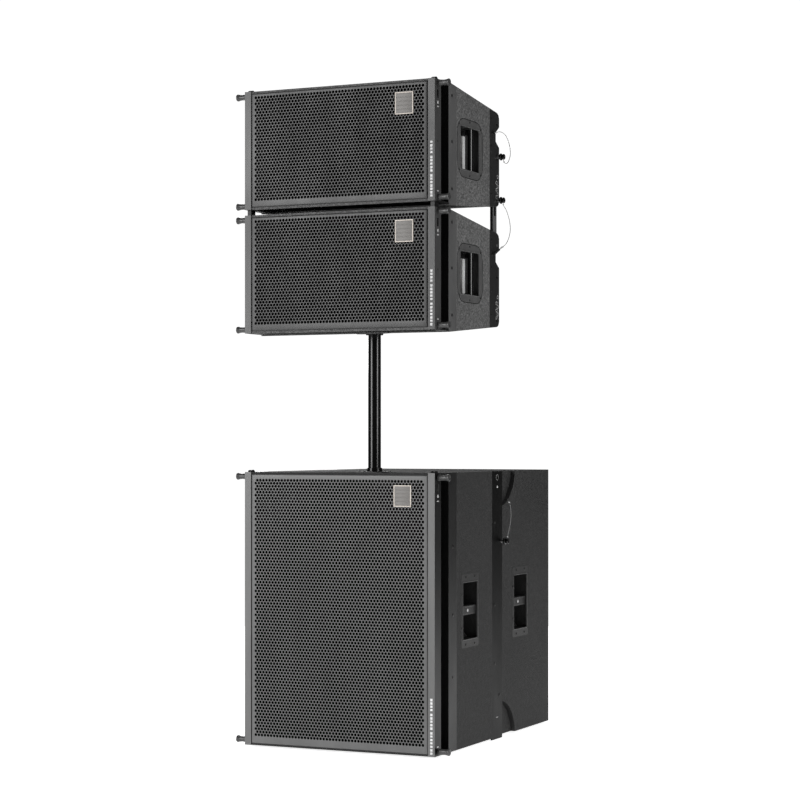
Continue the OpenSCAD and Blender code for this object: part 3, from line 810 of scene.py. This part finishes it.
for sign, tag in SIDES:
    for row in ("sub", "link", "park"):
        name = "pin_" + row + "_" + tag
        origin, tail, tip = across(name, sign)
        axis = Vector((sign, 0, 0))
        bm = bmesh.new()
        lathe(bm, [(0, tail), (0.0026, tail), (SHANK_R, tail + 0.0022), (SHANK_R, HALF_W + 0.0004),
                   (SHOULDER_R, HALF_W + 0.0006), (SHOULDER_R, HALF_W + 0.0030),
                   (SHANK_R, HALF_W + 0.0034), (SHANK_R, HALF_W + 0.0090)], origin, axis, 28)
        # locking balls at the tail
        for way in (1, -1):
            ball = origin + frame_along(axis) @ Vector((0, BALL_OUT * way, 0))
            lathe(bm, [(0, tail + 0.0018), (0.0009, tail + 0.0020), (0.0009, tail + 0.0036),
                       (0, tail + 0.0038)], ball, axis, 8)
        put(name + "_shank", bm, "steel", name, 30, (name,))
        # radius and height of the waisted head, from its back and then from the tip
        waist = [(0.0039, 0), (0.0068, 0), (0.0085, 0.0008), (0.0096, 0.0022), (0.0099, 0.0040),
                 (0.0092, 0.0056), (0.0076, 0.0066), (0.0060, 0.0074), (0.0060, 0.0082),
                 (0.0072, 0.0090), (0.0080, 0.0104)]
        button = [(0.0080, 0.0024), (0.0072, 0.0008), (0.0058, 0), (0.0030, 0), (0.0026, 0.0006),
                  (0, 0.0006)]
        bm = bmesh.new()
        lathe(bm, [(r, HEAD_BACK + h) for r, h in waist] + [(r, tip - h) for r, h in button],
              origin, axis, 40)
        put(name + "_head", bm, "grip", name, 24)

# ---------------------------------------------------------------- badges
BADGE_BANDS = 5
BADGE_EDGE = 0.0026
BADGE_ROUND = 0.0004
BAND_GAP = 0.0005

for kind, body in CABINETS:
    lo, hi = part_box(kind + "_badge")
    front = lo.y + 0.0006
    x_lo, x_hi, z_lo, z_hi = lo.x + BADGE_EDGE, hi.x - BADGE_EDGE, lo.z + BADGE_EDGE, hi.z - BADGE_EDGE
    bm = bmesh.new()
    slab(bm, (lo.x, front, lo.z), (hi.x, hi.y, z_lo), BADGE_ROUND)
    slab(bm, (lo.x, front, z_hi), (hi.x, hi.y, hi.z), BADGE_ROUND)
    slab(bm, (lo.x, front, z_lo), (x_lo, hi.y, z_hi), BADGE_ROUND)
    slab(bm, (x_hi, front, z_lo), (hi.x, hi.y, z_hi), BADGE_ROUND)
    put(kind + "_badge_border", bm, "border", body, 30, (kind + "_badge",))
    # blank face of low bands, so that it reads as a plate without lettering
    bm = bmesh.new()
    z_lo, z_hi = z_lo + 0.0002, z_hi - 0.0002
    step = (z_hi - z_lo) / BADGE_BANDS
    for k in range(BADGE_BANDS):
        band_front = lo.y + (0.0007 if k % 2 else 0.0010)
        slab(bm, (x_lo, band_front, z_lo + k * step + BAND_GAP),
             (x_hi, hi.y, z_lo + (k + 1) * step - BAND_GAP), 0.0003)
    slab(bm, (x_lo, lo.y + 0.0015, z_lo), (x_hi, hi.y, z_hi))
    put(kind + "_badge_face", bm, "badge", body, 30)

# ---------------------------------------------------------------- array boxes: fixings
# small turned details, as (radius, height) in metres
STUD = [(0.0042, -0.0001), (0.0042, 0.0003), (0.0032, 0.0006), (0, 0.0006)]
RIVET = [(0.0024, -0.0001), (0.0024, 0.0003), (0.0016, 0.0005), (0, 0.0005)]
HOLE_RIM = [(0.0052, -0.0001), (0.0052, 0.0003), (0.0042, 0.0003), (0.0040, -0.0002)]
ANCHOR = [(0.0066, -0.0002), (0.0066, 0.0008), (0.0050, 0.0014), (0.0044, 0.0030),
          (0.0052, 0.0040), (0.0052, 0.0050), (0.0040, 0.0056), (0, 0.0056)]
# their places in part.scad's millimetres: y from the front face, z from the box's middle
STRIP_Y = 112
STRIP_SCREWS = (128, 7, -117)
PLATE_Y = 383
PLATE_BOLTS = (104, 30, -34, -104)
STUD_Y, STUD_Z, RIVET_Z = 20, 98, -3
SPLAY_HOLES = ((428, -51), (420, -68), (428, -78), (420, -88), (428, -98), (420, -108))
FLANGE_SCREWS = ((159, 62), (306, 62), (159, -61), (306, -61), (232, 73), (232, -71))
ANCHOR_Y, ANCHOR_Z = 391, 66
CUP_BACK_X = 237
CUP_PLATE_Y, CUP_PLATE_Z = (205, 296), (-48, 46)
BOX_BACK_Y = 400
PANEL_X = (-52, 52)


def dash(bm, sign, y0, y1, z0, z1, proud=0.4):
    """A short bright line on a side face."""
    slab(bm, at(sign * (SKIN - 0.1), y0, z0), at(sign * (SKIN + proud), y1, z1))


for kind, body, z_mid in BOXES:
    zc = z_mid * 1000
    dark, bright, plate = bmesh.new(), bmesh.new(), bmesh.new()
    for sign in SIGNS:
        side = Vector((sign, 0, 0))
        for dz in STRIP_SCREWS:
            screw(dark, at(sign * SKIN, STRIP_Y, zc + dz), side, 0.0046, 0.0009)
        for dz in PLATE_BOLTS:
            screw(dark, at(sign * SKIN, PLATE_Y, zc + dz), side, 0.0040, 0.0014)
        # bright stud, dashes and a dark rivet on the side of the front post
        lathe(bright, STUD, at(sign * SKIN, STUD_Y, zc + STUD_Z), side, 20)
        dash(bright, sign, 14.5, 25.5, zc + 85.5, zc + 88.5)
        dash(bright, sign, 15, 25, zc - 133.5, zc - 130.5)
        lathe(dark, RIVET, at(sign * SKIN, STUD_Y, zc + RIVET_Z), side, 14)
        for y, dz in FLANGE_SCREWS:
            screw(dark, at(sign * SKIN, y, zc + dz), side, 0.0030, 0.0012)
        for y, dz in SPLAY_HOLES:
            lathe(bright, HOLE_RIM, at(sign * SKIN, y, zc + dz), side, 18)
        lathe(dark, ANCHOR, at(sign * SKIN, ANCHOR_Y, zc + ANCHOR_Z), side, 24)
        # pale plate on the back wall of the handle cup; its pale colour is painted light, standing in for
        # light falling into the cup
        slab(plate, at(sign * (CUP_BACK_X + 0.05), CUP_PLATE_Y[0], zc + CUP_PLATE_Z[0]),
             at(sign * (CUP_BACK_X + 1.6), CUP_PLATE_Y[1], zc + CUP_PLATE_Z[1]), 0.0006)
    put(kind + "_screws", dark, "black_steel", body)
    put(kind + "_marks", bright, "zinc", body)
    put(kind + "_cup_plates", plate, "pale_plate", body)

    bm = bmesh.new()
    for x in PANEL_X:
        for dz in (-62, 62):
            screw(bm, at(x, BOX_BACK_Y, zc + dz), (0, 1, 0), 0.0036, 0.0014)
    put(kind + "_panel_screws", bm, "steel", body)


# ---------------------------------------------------------------- beads round the handles
def rounded_loop(y0, y1, z0, z1, r, steps=8):
    """Points (y, z) round a rounded rectangle, in millimetres."""
    pts = []
    for cy, cz, turn in ((y1 - r, z1 - r, 0), (y0 + r, z1 - r, 90),
                         (y0 + r, z0 + r, 180), (y1 - r, z0 + r, 270)):
        for k in range(steps + 1):
            a = math.radians(turn + 90 * k / steps)
            pts.append((cy + r * math.cos(a), cz + r * math.sin(a)))
    return pts


def bead(bm, loop, sign, zc, section):
    """Sweeps (outward, height above the skin) pairs round a loop on a side face."""
    n = len(loop)
    rings = []
    for k in range(n):
        (ya, za), (yb, zb) = loop[k - 1], loop[(k + 1) % n]
        length = math.hypot(yb - ya, zb - za) or 1.0
        out_y, out_z = (zb - za) / length, -(yb - ya) / length
        y, z = loop[k]
        rings.append([bm.verts.new(at(sign * (SKIN + h), y + out_y * o, zc + z + out_z * o))
                      for o, h in section])
    for a, b in zip(rings, rings[1:] + rings[:1]):
        for k in range(len(section) - 1):
            bm.faces.new([a[k], a[k + 1], b[k + 1], b[k]])


# sections of the beads, as (outward, height above the skin) in millimetres
ROUND_LIP = [(1.6, -0.1), (1.5, 0.5), (0.9, 1.1), (0.0, 1.3), (-0.8, 1.0), (-1.2, 0.3), (-1.2, -3.0)]
# a thin near-black ring round each handle flange: painted shade for the shadow gap there
SHADOW_GAP_RING = [(1.1, -0.1), (1.1, 0.25), (-1.3, 0.25), (-1.3, -0.1)]
GRIP_FRAME = [(0.8, -6.1), (0.8, -5.4), (-0.8, -5.4), (-0.8, -6.1)]
# subwoofer handles: their middles, and the half widths and heights of their outlines
SUB_HANDLE_Y = (235, 598)
SUB_HANDLE_Z = 369
OPENING = (51, 77)
FLANGE = (60.5, 99.5)
GRIP_BLOCK = (46, 9.5)

for kind, body, z_mid in BOXES:
    lip, shadow_gap = bmesh.new(), bmesh.new()
    zc = z_mid * 1000
    for sign in SIGNS:
        bead(lip, rounded_loop(166, 298, -57, 60, 5), sign, zc, ROUND_LIP)
        # dark ring round the flange, painted shade for a shadow gap
        bead(shadow_gap, rounded_loop(147, 321, -78, 79, 45), sign, zc, SHADOW_GAP_RING)
    put(kind + "_handle_lips", lip, "array_moulding", body, 40)
    put(kind + "_handle_shadow_gaps", shadow_gap, "black_and_shade", body, 40)


def round_handle(y, half, r):
    """Loop round a subwoofer handle that is centred on y."""
    wide, tall = half
    return rounded_loop(y - wide, y + wide, -tall, tall, r)


lip, shadow_gap, frames = bmesh.new(), bmesh.new(), bmesh.new()
for sign in SIGNS:
    for y in SUB_HANDLE_Y:
        bead(lip, round_handle(y, OPENING, 4), sign, SUB_HANDLE_Z, ROUND_LIP)
        # dark ring round the flange, painted shade for a shadow gap
        bead(shadow_gap, round_handle(y, FLANGE, 8), sign, SUB_HANDLE_Z, SHADOW_GAP_RING)
        bead(frames, round_handle(y, GRIP_BLOCK, 3), sign, SUB_HANDLE_Z, GRIP_FRAME)
put("sub_handle_lips", lip, "lip", "sub", 40)
put("sub_handle_shadow_gaps", shadow_gap, "black_and_shade", "sub", 40)
put("sub_grip_frames", frames, "lip", "sub", 40)

# sloping finger guide in the lower half of each subwoofer handle
GUIDE_ROWS = 6
GUIDE_BACK, GUIDE_OUT = 219.5, 30
GUIDE_TOP, GUIDE_DROP = 14, 61
GUIDE_HALF = 51.5

bm = bmesh.new()
for sign in SIGNS:
    for y in SUB_HANDLE_Y:
        grid = []
        for k in range(GUIDE_ROWS + 1):
            t = k / GUIDE_ROWS
            x = GUIDE_BACK + GUIDE_OUT * t * t
            z = SUB_HANDLE_Z - GUIDE_TOP - GUIDE_DROP * t
            grid.append([bm.verts.new(at(sign * x, yy, z)) for yy in (y - GUIDE_HALF, y, y + GUIDE_HALF)])
        for a, b in zip(grid, grid[1:]):
            for k in range(2):
                bm.faces.new([a[k], a[k + 1], b[k + 1], b[k]])
put("sub_finger_guides", bm, "moulding", "sub", 40)

# ---------------------------------------------------------------- collars at the ends of the grip bars
COLLAR = [(0.0112, 0.0), (0.0146, 0.0), (0.0146, 0.0016), (0.0136, 0.0026), (0.0112, 0.0030)]
GRIP_X, GRIP_Y = 262.5, 262
GRIP_ENDS = ((60.6, -1), (-57.6, 1))

for kind, body, z_mid in BOXES:
    bm = bmesh.new()
    for sign in SIGNS:
        for dz, up in GRIP_ENDS:
            lathe(bm, COLLAR, at(sign * GRIP_X, GRIP_Y, z_mid * 1000 + dz), (0, 0, up), 32)
    put(kind + "_grip_collars", bm, "black_and_shade", body, 30)

# ---------------------------------------------------------------- subwoofer: fixings
HEX_RIM = [(0.0086, -0.0001), (0.0086, 0.0004), (0.0080, 0.0004), (0.0080, -0.0001)]
RAIL_STUD = [(0.0034, -0.0001), (0.0034, 0.0008), (0.0024, 0.0014), (0, 0.0014)]
GRIP_STUD = [(0.0042, -0.0001), (0.0042, 0.0006), (0.0030, 0.0010), (0, 0.0010)]
EYELET = [(0.0060, -0.0002), (0.0060, 0.0008), (0.0042, 0.0012), (0.0030, 0.0016), (0, 0.0016)]
SUB_STRIP_Y = 118
SUB_STRIP_SCREWS = (545, 365, 200)
RAIL_SCREWS = ((408, 372), (408, 210), (408, 600), (442, 120))
RAIL_Y = 425
HEX_DOWN = 17
RAIL_STUD_Z = 697
GRIP_STUD_X = 274
EYELET_PLACE = WAY_SUB[0][1:]
SUB_FLANGE_SCREWS = ((-30, 90), (30, 90), (-30, -90), (30, -90),
                     (-56, 45), (-56, -45), (56, 45), (56, -45))
SUB_BACK_Y = 820
SUB_PANEL_Z = 340

dark, bright, steel = bmesh.new(), bmesh.new(), bmesh.new()
sub_top = SUB_TOP * 1000
for sign in SIGNS:
    side = Vector((sign, 0, 0))
    for z in SUB_STRIP_SCREWS:
        screw(dark, at(sign * SKIN, SUB_STRIP_Y, z), side, 0.0046, 0.0009)
    for y, z in RAIL_SCREWS:
        screw(dark, at(sign * SKIN, y, z), side, 0.0044, 0.0012)
    lathe(bright, STUD, at(sign * SKIN, STUD_Y, sub_top - 60), side, 20)
    dash(bright, sign, 14.5, 25.5, sub_top - 74.5, sub_top - 71.5)
    dash(bright, sign, 15, 25, 27.5, 30.5)
    # bright rim of the rail's hexagonal hole, the stud below it and the dash at the rail's foot
    for k in range(6):
        flats = []
        for turn in (k, k + 1):
            a = math.radians(60 * turn)
            flats.append([bright.verts.new((sign * (HALF_W + h), at(0, RAIL_Y, 0).y + r * math.sin(a),
                                            (sub_top - HEX_DOWN) / 1000 + r * math.cos(a)))
                          for r, h in HEX_RIM])
        a, b = flats
        for m in range(3):
            bright.faces.new([a[m], a[m + 1], b[m + 1], b[m]])
    lathe(bright, RAIL_STUD, at(sign * SKIN, RAIL_Y, RAIL_STUD_Z), side, 18)
    dash(bright, sign, 418, 432, 59.4, 60.6, 0.3)
    # screws of the handle flanges and a stud on each grip block
    for y in SUB_HANDLE_Y:
        for dy, dz in SUB_FLANGE_SCREWS:
            screw(dark, at(sign * SKIN, y + dy, SUB_HANDLE_Z + dz), side, 0.0034, 0.0013)
        lathe(bright, GRIP_STUD, at(sign * GRIP_STUD_X, y - 4, SUB_HANDLE_Z), side, 16)
    lathe(steel, EYELET, at(sign * SKIN, *EYELET_PLACE), side, 20)
put("sub_screws", dark, "black_steel", "sub")
put("sub_marks", bright, "zinc", "sub")
put("sub_eyelets", steel, "steel", "sub")

bm = bmesh.new()
for x in PANEL_X:
    for dz in (-82, 0, 82):
        screw(bm, at(x, SUB_BACK_Y, SUB_PANEL_Z + dz), (0, 1, 0), 0.0036, 0.0014)
put("sub_panel_screws", bm, "steel", "sub")

# ---------------------------------------------------------------- foot of the pole
POLE_Y = 225
POLE_SCREW_R = 42
POLE_SCREW_TURN = 15
# radius over the pole's and height of the plain ring that hides the thread
POLE_RING = [(0.0001, 0.0), (0.0030, 0.0), (0.0036, 0.0008), (0.0036, 0.0090), (0.0028, 0.0100),
             (0.0001, 0.0104)]

bm = bmesh.new()
for k in range(6):
    a = math.radians(60 * k + POLE_SCREW_TURN)
    spot = at(POLE_SCREW_R * math.cos(a), POLE_Y + POLE_SCREW_R * math.sin(a), sub_top)
    screw(bm, spot, (0, 0, 1), 0.0040, 0.0018)
put("pole_plate_screws", bm, "black_steel", "sub")

bm = bmesh.new()
lo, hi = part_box("pole")
pole_r = (hi.x - lo.x) / 2
lathe(bm, [(pole_r + r, h) for r, h in POLE_RING], at(0, POLE_Y, sub_top), (0, 0, 1), 48)
put("pole_ring", bm, "pole", "sub", 30)

# ---------------------------------------------------------------- pale print bars on the right trims
# bars of random length that stand in for a line of print; they spell nothing
PRINT_GROUPS = (4, 5, 7)
PRINT_STEP = 8.8
PRINT_GAP = PRINT_STEP * 0.4
PRINT_LONG = (5.2, 7.0)
PRINT_X = (267.4, 273.8)
PRINT_Y = (-0.2, 0.15)
PRINT_TOPS = (156, LOW_Z * 1000 - 4, TOP_Z * 1000 - 4)

for (kind, body), z in zip(CABINETS, PRINT_TOPS):
    bm = bmesh.new()
    for count in PRINT_GROUPS:
        for k in range(count):
            long = random.uniform(*PRINT_LONG)
            slab(bm, at(PRINT_X[0], PRINT_Y[0], z - long), at(PRINT_X[1], PRINT_Y[1], z))
            z -= PRINT_STEP
        z -= PRINT_GAP
    put(kind + "_print_bars", bm, "print", body, 30)


# ---------------------------------------------------------------- floor, light and backdrop
FLOOR_R = 3.6
FLOOR_Z = -0.0005
FLOOR_GLOW = 0.9
WORLD_LIGHT = 0.06
BACKDROP_WHITE = 1.05


def disc(name, radius, z, key, sides=96):
    turns = [2 * math.pi * k / sides for k in range(sides)]
    verts = [(0, 0, z)] + [(radius * math.cos(a), radius * math.sin(a), z) for a in turns]
    return make(name, verts, [(0, k + 1, (k + 1) % sides + 1) for k in range(sides)], key)


def floor_look():
    """White paper that glows a little, so that the floor meets the white backdrop unseen."""
    s = Shader("floor_paper")
    fibre = s.noise(40, 4, 0.6)
    tone = s.mix(s.ramp(fibre, [(0.3, 0.0), (0.7, 1.0)]), grey(0.90), grey(0.94))
    rough = s.ramp(fibre, [(0.3, 0.85), (0.7, 0.95)])
    s.link(tone, s.bsdf.inputs["Emission Color"])
    s.bsdf.inputs["Emission Strength"].default_value = FLOOR_GLOW
    return s.done(tone, rough, s.bump(fibre, 0.02, 0.001), specular=0.1)


M["floor"] = floor_look()
floor = disc("floor", FLOOR_R, FLOOR_Z, "floor")


def softbox(name, location, target, size, size_y, power):
    """An area light of size by size_y metres and power watts, aimed at target."""
    light = bpy.data.lights.new(name, "AREA")
    light.shape = "RECTANGLE"
    light.size = size
    light.size_y = size_y
    light.energy = power
    obj = bpy.data.objects.new(name, light)
    bpy.context.scene.collection.objects.link(obj)
    obj.location = location
    look = Vector(target) - Vector(location)
    obj.rotation_euler = look.to_track_quat("-Z", "Y").to_euler()
    return obj


key_light = softbox("key", (-2.9, -5.2, 2.2), (0, -0.4, 0.9), 2.6, 3.4, 260)
side_light = softbox("side", (5.2, -1.0, 2.2), (0, 0, 1.0), 1.8, 3.0, 150)
top_light = softbox("top", (0.2, 0.6, 5.4), (0, 0.4, 0.0), 5.0, 5.0, 50)
back_light = softbox("back", (-3.0, 3.6, 2.6), (0, 0, 0.9), 1.6, 3.0, 90)

# dim light for the object, plain white for the camera
world = bpy.data.worlds.new("studio")
bpy.context.scene.world = world
world.use_nodes = True
sky = world.node_tree
backdrop = sky.nodes["Background"]
backdrop.inputs["Color"].default_value = (1, 1, 1, 1)
backdrop.inputs["Strength"].default_value = WORLD_LIGHT
white = sky.nodes.new("ShaderNodeBackground")
white.inputs["Color"].default_value = (1, 1, 1, 1)
white.inputs["Strength"].default_value = BACKDROP_WHITE
path = sky.nodes.new("ShaderNodeLightPath")
both_ways = sky.nodes.new("ShaderNodeMixShader")
sky.links.new(path.outputs["Is Camera Ray"], both_ways.inputs[0])
sky.links.new(backdrop.outputs[0], both_ways.inputs[1])
sky.links.new(white.outputs[0], both_ways.inputs[2])
sky.links.new(both_ways.outputs[0], sky.nodes["World Output"].inputs["Surface"])
bpy.context.scene.view_settings.view_transform = "Standard"
